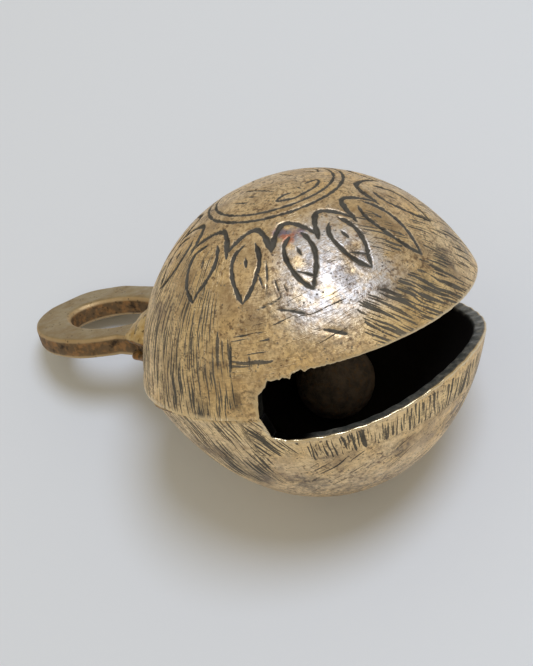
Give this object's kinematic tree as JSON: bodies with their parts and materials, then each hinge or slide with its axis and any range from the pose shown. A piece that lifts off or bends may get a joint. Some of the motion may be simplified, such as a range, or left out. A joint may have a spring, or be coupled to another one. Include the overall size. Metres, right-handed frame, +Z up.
{
  "type": "crotal bell",
  "caption": "Lying brass crotal bell with a wide curved mouth, a flat oval hanging loop and a loose iron pellet that rolls inside.",
  "frame": {"origin": "middle of the flat worn on the belly, where the lying bell meets the surface", "axes": "+Z up from the surface that the bell lies on, +X level, the way the mouth faces, away from the hanging loop, +Y to the left of +X"},
  "size_m": [0.0969, 0.0595, 0.0588],
  "materials": {
    "shell_brass": "cast, hand filed and worn, with dark patina in the hollows",
    "loop_brass": "cast, tarnished to a dull yellow brown",
    "braze": "lumpy brazing brass, worn bright on its high spots",
    "pellet_iron": "rough and rusted"
  },
  "bodies": {
    "bell": {"upper_shell": "shell_brass", "lower_shell": "shell_brass", "seam_braze_near": "braze", "seam_braze_far": "braze", "hanging_loop": "loop_brass", "loop_fillet_upper": "braze", "loop_fillet_lower": "braze"},
    "pellet": {"pellet": "pellet_iron"}
  },
  "joints": [
    {"name": "pellet_roll", "type": "hinge", "parent": "bell", "child": "pellet", "pos_m": [-0.0007, 0.00121, 0.02906], "axis": [0, -1, 0], "continuous": true}
  ]
}
